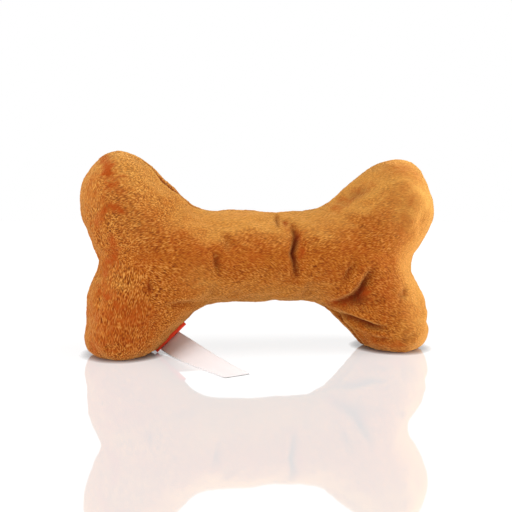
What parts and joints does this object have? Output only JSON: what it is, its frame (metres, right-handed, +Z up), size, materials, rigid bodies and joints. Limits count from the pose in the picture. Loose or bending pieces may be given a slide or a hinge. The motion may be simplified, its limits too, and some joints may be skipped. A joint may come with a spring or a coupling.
{
  "type": "squeaky plush dog toy",
  "caption": "Bone-shaped plush dog toy of two sewn panels, stuffed round a bellows squeaker, with a red tab and a care label in the seam.",
  "frame": {"origin": "on the floor, under the middle of the whole box, care label included", "axes": "+X along the bone, +Y from the front panel to the back panel, +Z up from the floor it stands on"},
  "size_m": [0.1996, 0.092, 0.1086],
  "materials": {
    "plush": "matte",
    "thread": "matte",
    "red_tape": "matte",
    "satin_label": "satin",
    "fibrefill": "matte",
    "polyethylene": "satin",
    "whistle_plastic": "gloss",
    "reed_film": "gloss"
  },
  "bodies": {
    "back_half": {"back_cover": "plush", "needle_thread": "thread", "bobbin_thread": "thread", "closing_thread": "thread", "stuffing_upper_left": "fibrefill", "stuffing_lower_left": "fibrefill", "stuffing_upper_right": "fibrefill", "stuffing_lower_right": "fibrefill", "stuffing_shaft": "fibrefill", "stuffing_back_pad": "fibrefill", "squeaker_bellows": "polyethylene", "squeaker_base": "polyethylene", "whistle_body": "whistle_plastic", "whistle_wedge": "whistle_plastic"},
    "front_half": {"front_cover": "plush", "stuffing_front_pad": "fibrefill", "squeaker_face": "polyethylene"},
    "reed": {"whistle_reed": "reed_film"},
    "labels": {"red_tab": "red_tape", "care_label": "satin_label"}
  },
  "joints": [
    {"name": "squeeze", "type": "slide", "parent": "back_half", "child": "front_half", "axis": [0, 1, 0], "range_m": [0, 0.008], "stiffness_N_per_m": 700, "deforming": ["front_cover", "squeaker_bellows"]},
    {"name": "reed_flex", "type": "hinge", "parent": "back_half", "child": "reed", "pos_m": [0, 0.02502, 0.0533], "axis": [0, 0, 1], "range_deg": [-3, 3], "stiffness_Nm_per_rad": 0.000002},
    {"name": "label_flap", "type": "hinge", "parent": "back_half", "child": "labels", "pos_m": [-0.05228, 0.0187, 0.01028], "axis": [-0.7193, 0, -0.6947], "range_deg": [0, 25]}
  ]
}
